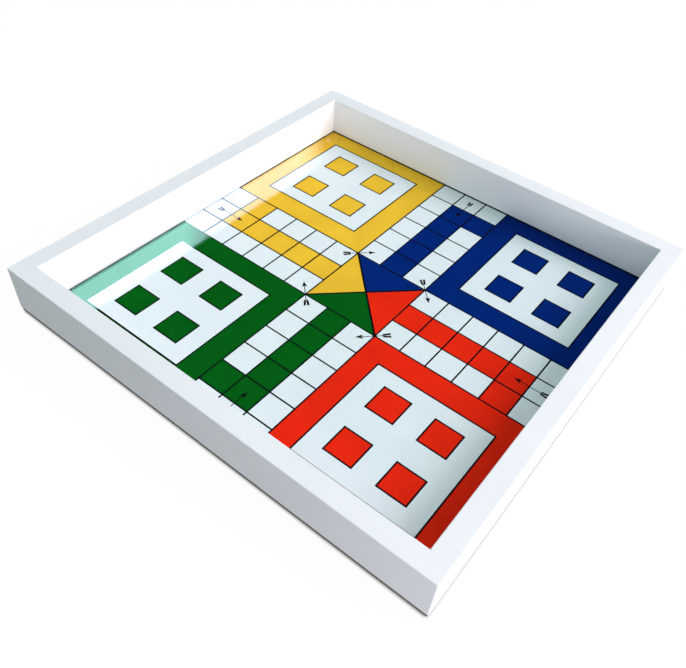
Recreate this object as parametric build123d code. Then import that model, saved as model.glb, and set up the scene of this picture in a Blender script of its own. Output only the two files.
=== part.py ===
from build123d import *
import os

# Framed ludo board: four mitred white rails round a deep playing well. The playing card and
# a clear sheet lie in a rebate at the foot of the rails, closed by a base board underneath.
# Millimetres, +Z up. The origin is on the table, under the middle of the board.
# +X runs to the right, and -Y is the front.

# ---------------------------------------------------------------- driving sizes

OPENING = 298.0  # clear width of the playing well, wall to wall

RAIL_WIDTH = 13.0  # top face of a rail, outside to inside
RAIL_HEIGHT = 33.0  # rail alone, from the base board up
REBATE_WIDTH = 4.0  # step under the lip that takes the card and the clear sheet
ARRIS_RADIUS = 0.5  # sanded long outer edges and top edges
LIP_RADIUS = 0.3  # eased lower edge of the lip, over the clear sheet
CORNER_RADIUS = 0.8  # sanded upright corners of the frame

CLEAR_THICKNESS = 2.0
CARD_THICKNESS = 1.5
SHEET_CLEARANCE = 0.3  # each side, between a sheet and the rebate wall
CARD_TRIM = 0.2  # the card is cut this much smaller than the clear sheet, each side

BASE_THICKNESS = 3.0
BASE_INSET = 0.5  # base board's edge behind the outer face of the rails
BASE_EDGE_RADIUS = 0.4  # sanded upper and lower rim of the base board

NAIL_HEIGHT = 10.0  # one V-nail, top to bottom
NAIL_LEG = 5.5  # from the bend to the start of the flared tip
NAIL_TIP = 1.4  # flared end of each leg
NAIL_FLARE = 25.0  # degrees that a tip turns outwards
NAIL_THICKNESS = 0.5
NAIL_LEVELS = ("lower", "upper")  # stacked in each joint, from the underside up

SCREW_LENGTH = 14.0  # face of the head to the point
SCREW_DIAMETER = 2.6
SCREW_POINT = 2.5  # tapered end
SCREW_SINK = 0.2  # face of the head inside the base board's underside
SCREWS_PER_SIDE = 3
SCREW_END_MARGIN = 50.0  # well corner to the first screw
HEAD_DIAMETER = 5.2
HEAD_RIM = 0.3  # straight edge of the head, before its 45 degree cone
CROSS_SPAN = 2.6  # driver recess, tip to tip
CROSS_WIDTH = 0.7
CROSS_DEPTH = 0.9

PAD_DIAMETER = 10.0
PAD_THICKNESS = 1.2
PAD_EDGE_RADIUS = 0.3  # rounded lower rim
PAD_FROM_SIDE = 20.0  # frame's outer face to the pad's middle, both ways

# ---------------------------------------------------------------- derived sizes

FRAME_SIZE = OPENING + 2 * RAIL_WIDTH
REBATE_OPENING = OPENING + 2 * REBATE_WIDTH
WALL_THICKNESS = RAIL_WIDTH - REBATE_WIDTH  # wood left beside the rebate
WALL_MIDDLE = FRAME_SIZE / 2 - WALL_THICKNESS / 2  # middle of that wall, from the centre

BASE_FOOT = PAD_THICKNESS
RAIL_FOOT = BASE_FOOT + BASE_THICKNESS
RAIL_TOP = RAIL_FOOT + RAIL_HEIGHT
CARD_FOOT = RAIL_FOOT
CLEAR_FOOT = CARD_FOOT + CARD_THICKNESS
LIP_FOOT = CLEAR_FOOT + CLEAR_THICKNESS

BASE_SIZE = FRAME_SIZE - 2 * BASE_INSET
CLEAR_SIZE = REBATE_OPENING - 2 * SHEET_CLEARANCE
CARD_SIZE = CLEAR_SIZE - 2 * CARD_TRIM

# Turn about +Z, in degrees, that carries the front side to each other one.
SIDE_TURNS = {"front": 0, "right": 90, "back": 180, "left": 270}

# The same for the front left corner, and then each corner's side of the middle in X and Y.
CORNERS = {
    "front_left": (0, -1, -1),
    "front_right": (90, 1, -1),
    "back_right": (180, 1, 1),
    "back_left": (270, -1, 1),
}


# ---------------------------------------------------------------- rails


def rail_profile():
    """Section of the front rail, in the YZ plane: a deep bar, rebated at its inner foot."""
    outside = -FRAME_SIZE / 2
    inside = -OPENING / 2
    rebate_wall = -REBATE_OPENING / 2
    outline = Polyline(
        (outside, RAIL_FOOT),
        (rebate_wall, RAIL_FOOT),
        (rebate_wall, LIP_FOOT),
        (inside, LIP_FOOT),
        (inside, RAIL_TOP),
        (outside, RAIL_TOP),
        close=True,
    )
    section = make_face(outline)
    levels = section.vertices().group_by(Axis.Y)
    top_corners = levels[-1]
    outer_foot = levels[0].sort_by(Axis.X)[0]
    section = fillet([*top_corners, outer_foot], ARRIS_RADIUS)
    lip_edge = section.vertices().group_by(Axis.X)[-1].sort_by(Axis.Y)[0]
    return Plane.YZ * fillet(lip_edge, LIP_RADIUS)


def mitred_plan():
    """Plan of the front rail: its quarter of the frame, cut at 45 degrees at both ends."""
    half = FRAME_SIZE / 2
    quarter = make_face(Polyline((0, 0), (-half, -half), (half, -half), close=True))
    return RectangleRounded(FRAME_SIZE, FRAME_SIZE, CORNER_RADIUS) & quarter


def front_rail_blank():
    bar = extrude(rail_profile(), amount=FRAME_SIZE / 2, both=True)
    mitres = Pos(0, 0, RAIL_FOOT) * extrude(mitred_plan(), amount=RAIL_HEIGHT)
    return bar & mitres


# ---------------------------------------------------------------- what holds the rails


def v_nail(level):
    """Bent steel strip across the front left mitre, bend on the joint, tips flared."""
    flared = NAIL_TIP * Vector(1, 0).rotate(Axis.Z, -NAIL_FLARE)
    along_x = Vector(NAIL_LEG, 0)
    tip_x = along_x + flared
    mirrored_tip = Vector(tip_x.Y, tip_x.X)
    centre_line = Polyline(
        tuple(tip_x)[:2],
        tuple(along_x)[:2],
        (0, 0),
        (0, NAIL_LEG),
        tuple(mirrored_tip)[:2],
    )
    strip = trace(centre_line, line_width=NAIL_THICKNESS)
    nail = extrude(strip, amount=NAIL_HEIGHT)
    return Pos(-WALL_MIDDLE, -WALL_MIDDLE, RAIL_FOOT + level * NAIL_HEIGHT) * nail


def screw_blank():
    """Countersunk screw, point up, with the face of its head at the origin and no recess yet."""
    head, shank = HEAD_DIAMETER / 2, SCREW_DIAMETER / 2
    half_section = Polyline(
        (0, 0),
        (head, 0),
        (head, HEAD_RIM),
        (shank, HEAD_RIM + head - shank),
        (shank, SCREW_LENGTH - SCREW_POINT),
        (0, SCREW_LENGTH),
        close=True,
    )
    return revolve(Plane.XZ * make_face(half_section), Axis.Z)


def driver_cross():
    """The cross-shaped recess in the face of a screw's head."""
    on_face = (Align.CENTER, Align.CENTER, Align.MIN)
    bar = Box(CROSS_SPAN, CROSS_WIDTH, CROSS_DEPTH, align=on_face)
    return bar + Rot(0, 0, 90) * bar


def screw_hole():
    """What a screw takes out of the base board and the rail: itself, and its sink."""
    sink = Cylinder(HEAD_DIAMETER / 2, SCREW_SINK, align=(Align.CENTER, Align.CENTER, Align.MAX))
    return screw_blank() + sink


def screw_places():
    """Places of the head faces of the front rail's screws, evenly spread between the end margins."""
    first = -OPENING / 2 + SCREW_END_MARGIN
    step = -2 * first / (SCREWS_PER_SIDE - 1)
    level = BASE_FOOT + SCREW_SINK
    return [Pos(first + i * step, -WALL_MIDDLE, level) for i in range(SCREWS_PER_SIDE)]


# ---------------------------------------------------------------- sheets, base board and pads


def flat_sheet(size, thickness, foot):
    panel = Box(size, size, thickness, align=(Align.CENTER, Align.CENTER, Align.MIN))
    return Pos(0, 0, foot) * panel


def base_board():
    plan = RectangleRounded(BASE_SIZE, BASE_SIZE, CORNER_RADIUS)
    board = Pos(0, 0, BASE_FOOT) * extrude(plan, amount=BASE_THICKNESS)
    faces = board.faces().sort_by(Axis.Z)
    rims = [*faces[0].edges(), *faces[-1].edges()]
    return fillet(rims, BASE_EDGE_RADIUS)


def foot_pad(x_side, y_side):
    """Rubber disc under the base board, near the corner on the given side."""
    pad = Cylinder(PAD_DIAMETER / 2, PAD_THICKNESS, align=(Align.CENTER, Align.CENTER, Align.MIN))
    lower_rim = pad.edges().group_by(Axis.Z)[0]
    pad = fillet(lower_rim, PAD_EDGE_RADIUS)
    from_middle = FRAME_SIZE / 2 - PAD_FROM_SIDE
    return Pos(x_side * from_middle, y_side * from_middle, 0) * pad


# ---------------------------------------------------------------- assembly


def build_nodes():
    nodes = {}
    nails = []
    for corner, (turn, x_side, y_side) in CORNERS.items():
        for level, level_name in enumerate(NAIL_LEVELS):
            nail = Rot(0, 0, turn) * v_nail(level)
            nails.append(nail)
            nodes[f"v_nail_{corner}_{level_name}"] = nail
        nodes[f"foot_pad_{corner}"] = foot_pad(x_side, y_side)

    blank = front_rail_blank()
    screw = screw_blank() - driver_cross()
    hole = screw_hole()
    base = base_board()
    for side, turn in SIDE_TURNS.items():
        rail = Rot(0, 0, turn) * blank
        for number, along in enumerate(screw_places(), start=1):
            place = Rot(0, 0, turn) * along
            nodes[f"base_screw_{side}_{number}"] = place * screw
            rail -= place * hole
            base -= place * hole
        for nail in nails:
            rail -= nail
        nodes[f"rail_{side}"] = rail

    nodes["base_board"] = base
    nodes["playing_card"] = flat_sheet(CARD_SIZE, CARD_THICKNESS, CARD_FOOT)
    nodes["clear_sheet"] = flat_sheet(CLEAR_SIZE, CLEAR_THICKNESS, CLEAR_FOOT)
    return nodes


os.makedirs("parts", exist_ok=True)
for node, shape in build_nodes().items():
    export_step(shape, f"parts/{node}.step")
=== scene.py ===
"""Looks of the framed ludo board: the print, the clear sheet over it, the rails and the underside.

Metres, in the frame of the CAD part: +Z up, the front rail at -Y, the origin on the table under the
middle.
"""

import math

import bpy
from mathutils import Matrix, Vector
from mathutils.geometry import delaunay_2d_cdt


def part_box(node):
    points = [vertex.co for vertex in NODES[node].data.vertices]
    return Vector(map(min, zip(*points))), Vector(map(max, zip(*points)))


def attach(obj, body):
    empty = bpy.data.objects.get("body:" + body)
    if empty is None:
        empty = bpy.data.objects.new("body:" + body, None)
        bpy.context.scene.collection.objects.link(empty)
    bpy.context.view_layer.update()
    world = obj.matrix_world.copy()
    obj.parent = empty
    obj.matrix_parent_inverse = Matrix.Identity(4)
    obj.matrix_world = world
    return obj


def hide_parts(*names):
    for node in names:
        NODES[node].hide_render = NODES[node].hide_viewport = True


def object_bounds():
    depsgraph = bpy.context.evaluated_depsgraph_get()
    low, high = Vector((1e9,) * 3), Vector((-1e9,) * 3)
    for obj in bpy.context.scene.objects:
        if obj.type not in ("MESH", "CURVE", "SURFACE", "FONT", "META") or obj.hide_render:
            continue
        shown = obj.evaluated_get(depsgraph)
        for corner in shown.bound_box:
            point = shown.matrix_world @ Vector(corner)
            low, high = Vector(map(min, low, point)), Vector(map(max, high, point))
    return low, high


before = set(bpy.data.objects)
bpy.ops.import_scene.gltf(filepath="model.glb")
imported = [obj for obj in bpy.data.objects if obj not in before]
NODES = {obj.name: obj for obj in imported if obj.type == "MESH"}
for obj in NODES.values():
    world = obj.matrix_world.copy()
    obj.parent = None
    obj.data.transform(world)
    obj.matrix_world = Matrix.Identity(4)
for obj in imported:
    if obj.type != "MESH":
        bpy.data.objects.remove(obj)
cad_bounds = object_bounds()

UNMIRRORED = ("rail_back", "rail_left")  # rails that the clear sheet shows no image of
MM = 0.001

# ---------------------------------------------------------------- the printed layout

CELL = 20 * MM
PRINT_SHIFT = (1.04 * MM, -0.06 * MM)  # the print lies a little off the frame's middle
INK_GAP = 0.05 * MM  # air between the print and the clear sheet
CUT_TOLERANCE = 1e-7  # points nearer than this are one, where the shapes are cut

# The layout's sizes below are in cells, and its places in cells from the middle of the board.
HALF_CELL = 0.5
HALF_BOARD = 7.5
HALF_ARM = 1.5  # half an arm's width, and half the centre square
ARM_CELLS = 6
YARD_MIDDLE = -4.5
YARD_HALF = 3.0
COLUMN_MIDDLE = -4.0  # of the front arm's coloured column, which leaves its outermost cell white
COLUMN_HALF = 2.5
START_CELL = (-1.0, -6.0)
WHITE_HALF = (2.166, 2.133)  # a yard's white square, across and along the board
TOKEN_PITCH = (0.946, 0.998)  # from the middle of a white square to its tokens, likewise
TOKEN_HALF = 0.508
LINE_WIDTH = 0.058
DIAGONAL_WIDTH = 0.075
BORDER_WIDTH = 0.14  # black line along the back edge, mostly under the rail

SHAFT_WIDTH = 0.03
HEAD_WIDTH = 0.19
HEAD_NOTCH = 0.05
FEATHER_TAIL = (0.022, 0.105)  # off the shaft, a feather's two edges at its far end
FEATHER_ROOT = (0.0, 0.075)  # and at its end towards the head
TURN_FEATHERS = (-0.55, -0.28)  # along the arrow, from the corner that it crosses
TURN_HEAD = (0.39, 0.66)
HOME_FEATHERS = (0.34, 0.6)  # along the arrow, from the board's edge
HOME_HEAD = (1.3, 1.57)

# The yards' inks, clockwise from the front left. A yard's white square and tokens are printed this
# far off its middle.
YARD_SHIFTS = {
    "green_ink": (-0.05, 0.03),
    "yellow_ink": (-0.065, 0.045),
    "blue_ink": (0.04, 0.005),
    "red_ink": (-0.015, -0.035),
}
PRINT_SLOTS = ("paper", "black_ink", *YARD_SHIFTS)

# ---------------------------------------------------------------- materials, colours as sRGB to 255

LACQUER = (235, 239, 245)
PAPER = (239, 248, 255)
INKS = {
    "black_ink": (14, 16, 22),
    "green_ink": (4, 96, 22),
    "yellow_ink": (255, 201, 58),
    "blue_ink": (2, 41, 124),
    "red_ink": (251, 44, 20),
}
PAPER_MOTTLE = 0.01  # share by which the tone changes
INK_MOTTLE = 0.05
HARDBOARD = (100, 93, 88)
HARDBOARD_FLECK = (64, 58, 54)
ZINC = (176, 178, 182)
RUBBER = (24, 24, 26)
CLEAR_TINT = (254, 255, 255)
ACRYLIC_IOR = 1.49

# ---------------------------------------------------------------- view and light

CAMERA_PLACE = (0.20198, -0.31103, 0.34776)
CAMERA_TURN = (43.743, -4.206, 37.599)  # degrees about X, Y and Z
SENSOR_WIDTH = 36.0
LENS = 37.67
CAMERA_SHIFT = (-0.0222, 0.001)
CLIP_START = 0.01

KEY_PLACE = (2.52, 1.97, 2.41)
KEY_SIZE = 2.3
KEY_POWER = 116.0
KEY_COLOUR = (1.0, 0.895, 0.955)
FILL_PLACE = (0.42, -0.5, 0.062)
FILL_SIZE = 0.12
FILL_POWER = 0.9
FILL_COLOUR = (1.0, 0.86, 0.94)
SIDE_PLACE = (1.5, 0.1, 0.28)
SIDE_SIZE = 0.2
SIDE_POWER = 14.0
SIDE_COLOUR = (1.0, 0.8, 0.79)
AMBIENT = 0.555  # strength of the room's light
OVERHEAD = 0.09  # what its upper part has more
OVERHEAD_SLOPE = (0.4, 0.9)  # upward slope over which that part comes in
AMBIENT_COLOUR = (0.85, 1.0, 0.96, 1.0)
WHITE = (1.0, 1.0, 1.0, 1.0)
WALL_TOP = (0.18, 0.42)  # upward slope over which the mirrored white walls give way to the ceiling
CEILING = 0.008  # strength of the ceiling where it is mirrored
FLOOR_SIZE = 12.0
FLOOR_GREY = (70, 74, 76)
FLOOR_WHITE_SHARE = 0.96  # of what is seen of the floor; the rest is lit by the lamps and the room
# The floor's seen white is darkened by ambient occlusion round the object's foot: a painted contact
# shadow.
CONTACT_REACH = 3 * MM  # how far the painted contact shadow reaches under and round the foot of the object
CONTACT_RANGE = (0.35, 0.8)  # open share of the sky over the floor from its darkest to plain white
CONTACT_DARK = 0.14
LIT_FROM = (-1.5 * MM, 0.5 * MM)  # off the right and back faces, where the painted contact shadow is left out because lamps reach the very foot

# The left wall's image in the clear sheet: a strip that only gloss shows, and no image of the rail
# itself. It takes green from the green yard, is paler from the white arm on, and fades towards the
# back and towards the rail's top.
GLARE_GAP = 0.3 * MM  # in front of the wall
GLARE_FOOT = 1.2 * MM  # above the clear sheet
GLARE_STRENGTH = 5.5
GLARE_GREEN = (0.5, 1.0, 0.97, 1.0)
GLARE_PALE = (0.34, 0.42, 0.56, 1.0)
GLARE_CHANGE = (-30 * MM, -5 * MM)  # along the wall, from green to pale
GLARE_FADE = (100 * MM, 138 * MM)  # along the wall, from full to nothing
GLARE_SOFT_TOP = 3.5 * MM  # height over which it fades below the rail's top


def linear(rgb):
    """An sRGB colour from 0 to 255 as a linear colour with alpha 1."""
    shares = [c / 255 for c in rgb]
    return (*(s / 12.92 if s <= 0.04045 else ((s + 0.055) / 1.055) ** 2.4 for s in shares), 1.0)


# ---------------------------------------------------------------- material building blocks


def new_material(name):
    """A material on a Principled shader. Returns it, its tree and the shader."""
    material = bpy.data.materials.new(name)
    material.use_nodes = True
    tree = material.node_tree
    return material, tree, tree.nodes["Principled BSDF"]


def noise(tree, scale, detail=3.0, stretch=(1.0, 1.0, 1.0)):
    """Noise over the object's own coordinates: features about 1 / scale metres across."""
    place = tree.nodes.new("ShaderNodeTexCoord")
    mapping = tree.nodes.new("ShaderNodeMapping")
    mapping.inputs["Scale"].default_value = stretch
    texture = tree.nodes.new("ShaderNodeTexNoise")
    texture.inputs["Scale"].default_value = scale
    texture.inputs["Detail"].default_value = detail
    tree.links.new(place.outputs["Object"], mapping.inputs["Vector"])
    tree.links.new(mapping.outputs["Vector"], texture.inputs["Vector"])
    return texture.outputs["Fac"]


def ranged(tree, value, low, high, start=0.3, stop=0.7):
    """value, taken from start..stop to low..high."""
    node = tree.nodes.new("ShaderNodeMapRange")
    node.inputs["From Min"].default_value = start
    node.inputs["From Max"].default_value = stop
    node.inputs["To Min"].default_value = low
    node.inputs["To Max"].default_value = high
    tree.links.new(value, node.inputs["Value"])
    return node.outputs["Result"]


def combined(tree, operation, first, second):
    """What a Math operation makes of two values."""
    node = tree.nodes.new("ShaderNodeMath")
    node.operation = operation
    tree.links.new(first, node.inputs[0])
    tree.links.new(second, node.inputs[1])
    return node.outputs[0]


def axes(tree, vector):
    """The X, Y and Z of a vector."""
    node = tree.nodes.new("ShaderNodeSeparateXYZ")
    tree.links.new(vector, node.inputs[0])
    return node.outputs


def mixed_colour(tree, factor, first, second):
    """first where factor is 0, second where it is 1. Either is a colour or a socket."""
    node = tree.nodes.new("ShaderNodeMix")
    node.data_type = "RGBA"
    tree.links.new(factor, node.inputs["Factor"])
    for socket, colour in ((node.inputs[6], first), (node.inputs[7], second)):
        if isinstance(colour, bpy.types.NodeSocket):
            tree.links.new(colour, socket)
        else:
            socket.default_value = linear(colour)
    return node.outputs[2]


def mixed_shader(tree, factor, first, second):
    """first where factor is 0, second where it is 1."""
    node = tree.nodes.new("ShaderNodeMixShader")
    tree.links.new(factor, node.inputs[0])
    tree.links.new(first, node.inputs[1])
    tree.links.new(second, node.inputs[2])
    return node.outputs[0]


def mixed_for_rays(tree, rays, first, second):
    """second for the given kinds of ray, and first for all others."""
    path = tree.nodes.new("ShaderNodeLightPath")
    factor = path.outputs[rays[0]]
    for ray in rays[1:]:
        factor = combined(tree, "MAXIMUM", factor, path.outputs[ray])
    return mixed_shader(tree, factor, first, second)


def shade(colour, share):
    """colour with each channel times share."""
    return tuple(min(255, c * share) for c in colour)


def bump(tree, shader, height, distance):
    """Raises the surface by up to distance metres where height is 1."""
    node = tree.nodes.new("ShaderNodeBump")
    node.inputs["Distance"].default_value = distance
    tree.links.new(height, node.inputs["Height"])
    tree.links.new(node.outputs["Normal"], shader.inputs["Normal"])


# ---------------------------------------------------------------- materials


def lacquer():
    """White satin lacquer: a faint roller texture, and slow changes of tone and sheen."""
    material, tree, shader = new_material("white_lacquer")
    shader.inputs["Specular IOR Level"].default_value = 0.3
    tone = ranged(tree, noise(tree, scale=22), 0, 1)
    colour = mixed_colour(tree, tone, shade(LACQUER, 0.985), LACQUER)
    tree.links.new(colour, shader.inputs["Base Color"])
    sheen = ranged(tree, noise(tree, scale=160), 0.36, 0.5)
    tree.links.new(sheen, shader.inputs["Roughness"])
    bump(tree, shader, noise(tree, scale=900, detail=2), distance=0.03 * MM)
    return material


def printed(name, colour, mottle):
    """Ink or bare paper: a slight mottle and a fine paper tooth."""
    material, tree, shader = new_material(name)
    shader.inputs["Specular IOR Level"].default_value = 0.0
    patches = ranged(tree, noise(tree, scale=45), 0, 1)
    darker, lighter = shade(colour, 1 - mottle), shade(colour, 1 + mottle / 2)
    tree.links.new(mixed_colour(tree, patches, darker, lighter), shader.inputs["Base Color"])
    tooth = noise(tree, scale=2500, detail=2)
    tree.links.new(ranged(tree, tooth, 0.48, 0.62), shader.inputs["Roughness"])
    bump(tree, shader, tooth, distance=0.003 * MM)
    return material


def print_material(slot):
    if slot == "paper":
        return printed(slot, PAPER, PAPER_MOTTLE)
    return printed(slot, INKS[slot], INK_MOTTLE)


def clear_acrylic():
    """Polished clear sheet. Lamps and bounced light pass it unbent, so the print under it is lit."""
    material, tree, shader = new_material("clear_acrylic")
    shader.inputs["Base Color"].default_value = linear(CLEAR_TINT)
    shader.inputs["Roughness"].default_value = 0.0
    shader.inputs["Transmission Weight"].default_value = 1.0
    shader.inputs["IOR"].default_value = ACRYLIC_IOR
    bump(tree, shader, noise(tree, scale=18, detail=1), distance=0.004 * MM)
    unbent = tree.nodes.new("ShaderNodeBsdfTransparent")
    unbent.inputs["Color"].default_value = linear(CLEAR_TINT)
    rays = ("Is Shadow Ray", "Is Diffuse Ray")
    surface = mixed_for_rays(tree, rays, shader.outputs[0], unbent.outputs[0])
    tree.links.new(surface, tree.nodes["Material Output"].inputs["Surface"])
    return material


def hardboard():
    """Tempered hardboard: dark pressed fibre with darker flecks."""
    material, tree, shader = new_material("hardboard")
    fibre = noise(tree, scale=420, detail=6, stretch=(1.0, 0.35, 1.0))
    patches = ranged(tree, noise(tree, scale=18, detail=4), 0, 1)
    base = mixed_colour(tree, patches, shade(HARDBOARD, 0.9), shade(HARDBOARD, 1.08))
    flecks = ranged(tree, fibre, 0, 0.7, start=0.5, stop=0.75)
    tree.links.new(mixed_colour(tree, flecks, base, HARDBOARD_FLECK), shader.inputs["Base Color"])
    tree.links.new(ranged(tree, fibre, 0.6, 0.85), shader.inputs["Roughness"])
    bump(tree, shader, fibre, distance=0.08 * MM)
    return material


def zinc_steel():
    """Zinc plated steel: bright grey with a drawn grain."""
    material, tree, shader = new_material("zinc_steel")
    shader.inputs["Metallic"].default_value = 1.0
    grain = noise(tree, scale=1500, stretch=(1.0, 1.0, 0.1))
    tree.links.new(ranged(tree, grain, 0.28, 0.5), shader.inputs["Roughness"])
    spangle = ranged(tree, noise(tree, scale=260), 0, 1)
    colour = mixed_colour(tree, spangle, shade(ZINC, 0.86), ZINC)
    tree.links.new(colour, shader.inputs["Base Color"])
    bump(tree, shader, grain, distance=0.01 * MM)
    return material


def rubber():
    """Matt black rubber, a little dusty."""
    material, tree, shader = new_material("black_rubber")
    dust = ranged(tree, noise(tree, scale=700, detail=4), 0, 0.35)
    colour = mixed_colour(tree, dust, RUBBER, shade(RUBBER, 3.0))
    tree.links.new(colour, shader.inputs["Base Color"])
    tree.links.new(ranged(tree, noise(tree, scale=900), 0.7, 0.9), shader.inputs["Roughness"])
    return material


# ---------------------------------------------------------------- the print


def turned(point, quarter):
    """A point of the layout after that many clockwise quarter turns about the middle."""
    x, y = point
    for _ in range(quarter):
        x, y = y, -x
    return x, y


def rectangle(x, y, half_x, half_y):
    """Corners of a rectangle round (x, y), counterclockwise."""
    left, right, front, back = x - half_x, x + half_x, y - half_y, y + half_y
    return [(left, front), (right, front), (right, back), (left, back)]


def bar(start, end, width):
    """Rectangle along a line, longer by half its width at each end."""
    along = (Vector(end) - Vector(start)).normalized() * width / 2
    across = Vector((-along.y, along.x))
    a = Vector(start) - along
    b = Vector(end) + along
    return [tuple(p) for p in (a - across, b - across, b + across, a + across)]


def outline(corners):
    return [bar(a, b, LINE_WIDTH) for a, b in zip(corners, corners[1:] + corners[:1])]


def arrow(start, direction, feathers, head):
    """Two blades of feather, a thin shaft and a barbed head, along direction from start."""
    ahead = Vector(direction).normalized()
    aside = Vector((-ahead.y, ahead.x))

    def at(along, off=0.0):
        return tuple(Vector(start) + ahead * along + aside * off)

    shapes = []
    for side in (-1, 1):
        tail = [at(feathers[0], side * off) for off in FEATHER_TAIL]
        root = [at(feathers[1], side * off) for off in reversed(FEATHER_ROOT)]
        shapes.append((tail + root)[::-side])
    shapes.append(bar(at(feathers[1]), at(head[0] + HEAD_NOTCH), SHAFT_WIDTH))
    barbs = [at(head[0], side * HEAD_WIDTH / 2) for side in (-1, 1)]
    shapes.append([barbs[0], at(head[1]), barbs[1], at(head[0] + HEAD_NOTCH)])
    return shapes


def quarter_areas():
    """Coloured areas of the front left quarter of the layout, but for its tokens."""
    yard = rectangle(YARD_MIDDLE, YARD_MIDDLE, YARD_HALF, YARD_HALF)
    column = rectangle(0, COLUMN_MIDDLE, HALF_CELL, COLUMN_HALF)
    start = rectangle(*START_CELL, HALF_CELL, HALF_CELL)
    triangle = [(-HALF_ARM, -HALF_ARM), (HALF_ARM, -HALF_ARM), (0, 0)]
    return [yard, column, start, triangle]


def yard_squares(quarter, shift):
    """A yard's white square, and then its four tokens."""
    x, y = turned((YARD_MIDDLE, YARD_MIDDLE), quarter)
    x, y = x + shift[0], y + shift[1]
    squares = [rectangle(x, y, *WHITE_HALF)]
    for i in (-1, 1):
        for j in (-1, 1):
            token_x, token_y = x + i * TOKEN_PITCH[0], y + j * TOKEN_PITCH[1]
            squares.append(rectangle(token_x, token_y, TOKEN_HALF, TOKEN_HALF))
    return squares


def quarter_lines():
    """Black lines and arrows of the front left quarter of the layout, but for those in its yard."""
    shapes = []
    for corners in quarter_areas()[:3]:  # the triangle's sides are the diagonals below
        shapes += outline(corners)
    for x in (-HALF_ARM, -HALF_CELL, HALF_CELL, HALF_ARM):
        shapes.append(bar((x, -HALF_BOARD), (x, -HALF_ARM), LINE_WIDTH))
    for row in range(1, ARM_CELLS + 1):
        y = row - HALF_BOARD
        shapes.append(bar((-HALF_ARM, y), (HALF_ARM, y), LINE_WIDTH))
    shapes.append(bar((0, 0), (-HALF_ARM, -HALF_ARM), DIAGONAL_WIDTH))
    shapes += arrow((-HALF_ARM, -HALF_ARM), (-1, 1), TURN_FEATHERS, TURN_HEAD)
    shapes += arrow((0, -HALF_BOARD), (0, 1), HOME_FEATHERS, HOME_HEAD)
    return shapes


def layout_shapes(rim):
    """Every shape of the print, each over those before it: its slot, and its corners in metres."""

    def placed(corners, quarter=0):
        turned_corners = [turned(p, quarter) for p in corners]
        return [(x * CELL + PRINT_SHIFT[0], y * CELL + PRINT_SHIFT[1]) for x, y in turned_corners]

    shapes = [("paper", rim)]
    lines = [placed(bar((-HALF_BOARD, HALF_BOARD), (HALF_BOARD, HALF_BOARD), BORDER_WIDTH))]
    for quarter, (ink, shift) in enumerate(YARD_SHIFTS.items()):
        shapes += [(ink, placed(corners, quarter)) for corners in quarter_areas()]
        white, *tokens = yard_squares(quarter, shift)
        shapes.append(("paper", placed(white)))
        shapes += [(ink, placed(corners)) for corners in tokens]
        for corners in (white, *tokens):
            lines += [placed(line) for line in outline(corners)]
        lines += [placed(line, quarter) for line in quarter_lines()]
    return shapes + [("black_ink", line) for line in lines]


def cut_apart(shapes):
    """Cuts shapes that lie over one another into areas. Returns their points, faces and slots."""
    points, faces = [], []
    for _, corners in shapes:
        faces.append(list(range(len(points), len(points) + len(corners))))
        points += [Vector(p) for p in corners]
    points, _, faces, _, _, sources = delaunay_2d_cdt(points, [], faces, 0, CUT_TOLERANCE)
    slots = [PRINT_SLOTS.index(shapes[max(source)][0]) for source in sources]
    return points, faces, slots


def nearest(points, place):
    """Index of the point that is nearest to a place."""
    return min(range(len(points)), key=lambda i: (points[i] - Vector(place)).length)


def card_mesh():
    """The playing card as one closed board, whose top is cut into its areas of ink and paper."""
    low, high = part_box("playing_card")
    rim = [(low.x, low.y), (high.x, low.y), (high.x, high.y), (low.x, high.y)]
    points, faces, slots = cut_apart(layout_shapes(rim))
    vertices = [(p.x, p.y, high.z - INK_GAP) for p in points] + [(x, y, low.z) for x, y in rim]
    above = [nearest(points, corner) for corner in rim]
    below = [len(points) + i for i in range(4)]
    polygons = [tuple(face) for face in faces]
    polygons.append(tuple(reversed(below)))
    for i in range(4):
        j = (i + 1) % 4
        polygons.append((below[i], below[j], above[j], above[i]))
    slots += [PRINT_SLOTS.index("paper")] * 5  # the underside and the four edges

    mesh = bpy.data.meshes.new("printed_playing_card")
    mesh.from_pydata(vertices, [], polygons)
    for slot in PRINT_SLOTS:
        mesh.materials.append(print_material(slot))
    mesh.polygons.foreach_set("material_index", slots)
    mesh.update()
    return mesh


def build_print():
    card = bpy.data.objects.new("printed_playing_card", card_mesh())
    bpy.context.scene.collection.objects.link(card)
    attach(card, "root")
    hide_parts("playing_card")


# ---------------------------------------------------------------- materials of the CAD nodes


def dress_nodes():
    """Gives each CAD node its finish, and leaves two rails out of what the clear sheet mirrors."""
    finishes = {
        "rail_": lacquer(),
        "clear_sheet": clear_acrylic(),
        "base_board": hardboard(),
        "v_nail_": zinc_steel(),
        "foot_pad_": rubber(),
    }
    finishes["base_screw_"] = finishes["v_nail_"]
    for name, node in NODES.items():
        for start, material in finishes.items():
            if name.startswith(start):
                for place in node.material_slots:
                    place.material = material
    for name in UNMIRRORED:
        NODES[name].visible_glossy = False
        NODES[name].visible_transmission = False


# ---------------------------------------------------------------- floor, room, lamps and camera


def painted_contact_shadow(tree):
    """How white the floor shows: a painted contact shadow from ambient occlusion, dark under and
    round the foot, but none where lamps reach it.
    """
    openness = tree.nodes.new("ShaderNodeAmbientOcclusion")
    openness.inputs["Distance"].default_value = CONTACT_REACH
    # Ambient occlusion darkens the floor's white here: painted contact shadow.
    strength = ranged(tree, openness.outputs["AO"], CONTACT_DARK, 1, *CONTACT_RANGE)
    place = axes(tree, tree.nodes.new("ShaderNodeTexCoord").outputs["Object"])
    # Beyond the right and back faces the painted shadow is lifted, as the lamps reach the foot
    # there.
    for axis, face in zip("XY", cad_bounds[1]):
        lit = ranged(tree, place[axis], 0, 1, face + LIT_FROM[0], face + LIT_FROM[1])
        strength = combined(tree, "MAXIMUM", strength, lit)
    return strength


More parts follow.
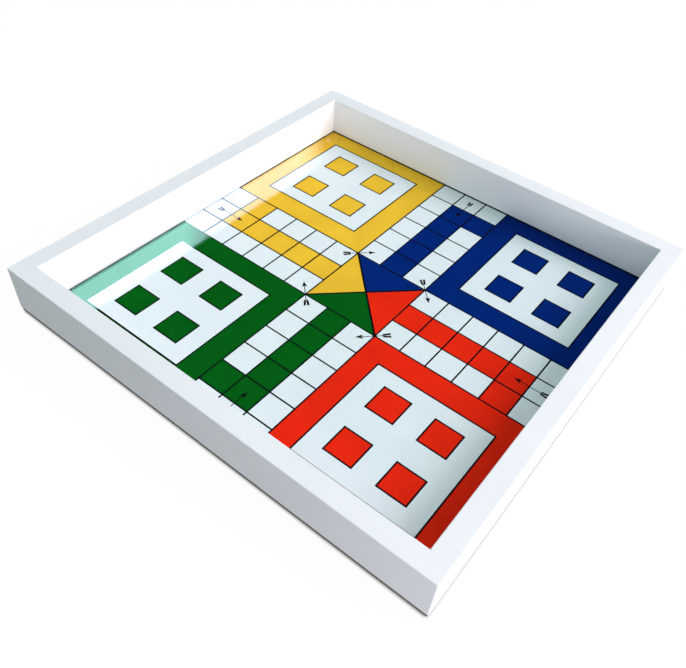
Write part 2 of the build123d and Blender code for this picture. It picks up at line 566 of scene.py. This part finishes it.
def floor_material():
    """Seen as near white, with the object's shadow on it: its lamp-lit share holds the cast shadow,
    and its white share a painted contact shadow round the foot. As light, it gives back little.
    """
    material, tree, shader = new_material("floor")
    shader.inputs["Base Color"].default_value = linear(FLOOR_GREY)
    shader.inputs["Specular IOR Level"].default_value = 0.0
    white = tree.nodes.new("ShaderNodeEmission")
    tree.links.new(painted_contact_shadow(tree), white.inputs["Strength"])
    shaded = tree.nodes.new("ShaderNodeBsdfDiffuse")
    shaded.inputs["Color"].default_value = WHITE
    seen = tree.nodes.new("ShaderNodeMixShader")
    seen.inputs[0].default_value = FLOOR_WHITE_SHARE
    tree.links.new(shaded.outputs[0], seen.inputs[1])
    tree.links.new(white.outputs[0], seen.inputs[2])
    rays = ("Is Camera Ray", "Is Glossy Ray", "Is Transmission Ray")
    surface = mixed_for_rays(tree, rays, shader.outputs[0], seen.outputs[0])
    tree.links.new(surface, tree.nodes["Material Output"].inputs["Surface"])
    return material


def build_floor():
    corners = rectangle(0, 0, FLOOR_SIZE / 2, FLOOR_SIZE / 2)
    mesh = bpy.data.meshes.new("floor")
    mesh.from_pydata([(x, y, 0) for x, y in corners], [], [(0, 1, 2, 3)])
    mesh.materials.append(floor_material())
    floor = bpy.data.objects.new("floor", mesh)
    bpy.context.scene.collection.objects.link(floor)


def white_light(tree, strength):
    """Even white light for the world."""
    node = tree.nodes.new("ShaderNodeBackground")
    node.inputs["Color"].default_value = WHITE
    node.inputs["Strength"].default_value = strength
    return node.outputs[0]


def build_room():
    """White to the camera. Mirrored, white walls under a dim ceiling. As light, even and soft."""
    world = bpy.data.worlds.new("room")
    bpy.context.scene.world = world
    world.use_nodes = True
    tree = world.node_tree
    up = axes(tree, tree.nodes.new("ShaderNodeTexCoord").outputs["Generated"])["Z"]
    even = tree.nodes["Background"]
    even.inputs["Color"].default_value = AMBIENT_COLOUR
    strength = ranged(tree, up, AMBIENT, AMBIENT + OVERHEAD, *OVERHEAD_SLOPE)
    tree.links.new(strength, even.inputs["Strength"])
    white = white_light(tree, 1.0)
    ceiling = white_light(tree, CEILING)
    walls = mixed_shader(tree, ranged(tree, up, 0, 1, *WALL_TOP), white, ceiling)
    rays = ("Is Glossy Ray", "Is Transmission Ray")
    mirrored = mixed_for_rays(tree, rays, even.outputs[0], walls)
    surface = mixed_for_rays(tree, ("Is Camera Ray",), mirrored, white)
    tree.links.new(surface, tree.nodes["World Output"].inputs["Surface"])


def add_lamp(name, place, size, power, colour):
    """Square soft lamp that faces the board."""
    light = bpy.data.lights.new(name, "AREA")
    light.size = size
    light.energy = power
    light.color = colour
    lamp = bpy.data.objects.new(name, light)
    lamp.location = place
    lamp.rotation_euler = (-Vector(place)).to_track_quat("-Z", "Y").to_euler()
    lamp.visible_camera = False
    bpy.context.scene.collection.objects.link(lamp)


def shape_glare(light, top):
    """Two colours along the strip, which fades towards the back and towards its top."""
    light.use_nodes = True
    tree = light.node_tree
    place = axes(tree, tree.nodes.new("ShaderNodeNewGeometry").outputs["Position"])
    along = ranged(tree, place["Y"], 1, 0, *GLARE_FADE)
    upwards = ranged(tree, place["Z"], 1, 0, top - GLARE_SOFT_TOP, top)
    emission = tree.nodes["Emission"]
    strength = combined(tree, "MULTIPLY", along, upwards)
    tree.links.new(strength, emission.inputs["Strength"])
    colour = tree.nodes.new("ShaderNodeMix")
    colour.data_type = "RGBA"
    colour.inputs[6].default_value = GLARE_GREEN
    colour.inputs[7].default_value = GLARE_PALE
    change = ranged(tree, place["Y"], 0, 1, *GLARE_CHANGE)
    tree.links.new(change, colour.inputs["Factor"])
    tree.links.new(colour.outputs[2], emission.inputs["Color"])


def add_glare():
    """A strip along the left wall that only gloss shows: that wall's image in the clear sheet."""
    wall, _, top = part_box("rail_left")[1]
    front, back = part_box("rail_front")[1].y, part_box("rail_back")[0].y
    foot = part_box("clear_sheet")[1].z + GLARE_FOOT
    light = bpy.data.lights.new("glare", "AREA")
    light.shape = "RECTANGLE"
    light.size = back - front
    light.size_y = top - foot
    light.energy = GLARE_STRENGTH * math.pi * light.size * light.size_y
    shape_glare(light, top)
    lamp = bpy.data.objects.new("glare", light)
    lamp.location = (wall + GLARE_GAP, (front + back) / 2, (foot + top) / 2)
    lamp.rotation_euler = (math.pi / 2, 0, -math.pi / 2)  # upright, facing +X
    lamp.visible_camera = False
    lamp.visible_diffuse = False
    bpy.context.scene.collection.objects.link(lamp)


def add_camera():
    data = bpy.data.cameras.new("camera")
    data.sensor_width = SENSOR_WIDTH
    data.lens = LENS
    data.shift_x, data.shift_y = CAMERA_SHIFT
    data.clip_start = CLIP_START
    camera = bpy.data.objects.new("camera", data)
    camera.location = CAMERA_PLACE
    camera.rotation_euler = [math.radians(a) for a in CAMERA_TURN]
    bpy.context.scene.collection.objects.link(camera)
    bpy.context.scene.camera = camera


# ---------------------------------------------------------------- build

add_camera()
build_print()
dress_nodes()
build_floor()
build_room()
add_lamp("key", KEY_PLACE, KEY_SIZE, KEY_POWER, KEY_COLOUR)
add_lamp("fill", FILL_PLACE, FILL_SIZE, FILL_POWER, FILL_COLOUR)
add_lamp("side", SIDE_PLACE, SIDE_SIZE, SIDE_POWER, SIDE_COLOUR)
add_glare()
bpy.context.scene.view_settings.view_transform = "Standard"
